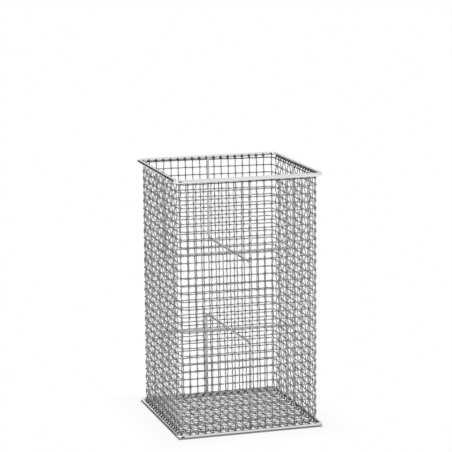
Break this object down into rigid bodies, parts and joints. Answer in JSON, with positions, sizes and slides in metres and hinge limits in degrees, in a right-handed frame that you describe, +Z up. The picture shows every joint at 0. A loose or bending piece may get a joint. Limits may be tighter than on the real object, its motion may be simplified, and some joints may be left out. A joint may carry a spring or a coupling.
{
  "type": "cutlery holder",
  "caption": "Tall square open-topped holder of woven steel wire mesh with rod rims and crossed wire dividers, for utensils and cutlery.",
  "frame": {"origin": "on the ground, in the middle of the square that the base rod stands on", "axes": "+Z up through the open top, -Y towards the front wall that the picture shows most of, +X to the right of it"},
  "size_m": [0.15, 0.15, 0.254],
  "materials": {
    "rim_rod_steel": "bright drawn stainless steel rod, lightly polished",
    "base_rod_steel": "bright drawn stainless steel rod, lightly polished",
    "front_wall_mesh_steel": "plain woven stainless steel wire, as drawn",
    "right_wall_mesh_steel": "plain woven stainless steel wire, as drawn",
    "back_wall_mesh_steel": "plain woven stainless steel wire, as drawn",
    "left_wall_mesh_steel": "plain woven stainless steel wire, as drawn",
    "floor_mesh_steel": "plain woven stainless steel wire, as drawn",
    "upper_divider_side_to_side_steel": "bright drawn stainless steel wire",
    "upper_divider_front_to_back_steel": "bright drawn stainless steel wire",
    "lower_divider_side_to_side_steel": "bright drawn stainless steel wire",
    "lower_divider_front_to_back_steel": "bright drawn stainless steel wire"
  },
  "bodies": {
    "root": {"rim_rod": "rim_rod_steel", "base_rod": "base_rod_steel", "front_wall_mesh": "front_wall_mesh_steel", "right_wall_mesh": "right_wall_mesh_steel", "back_wall_mesh": "back_wall_mesh_steel", "left_wall_mesh": "left_wall_mesh_steel", "floor_mesh": "floor_mesh_steel", "upper_divider_side_to_side": "upper_divider_side_to_side_steel", "upper_divider_front_to_back": "upper_divider_front_to_back_steel", "lower_divider_side_to_side": "lower_divider_side_to_side_steel", "lower_divider_front_to_back": "lower_divider_front_to_back_steel"}
  },
  "joints": []
}
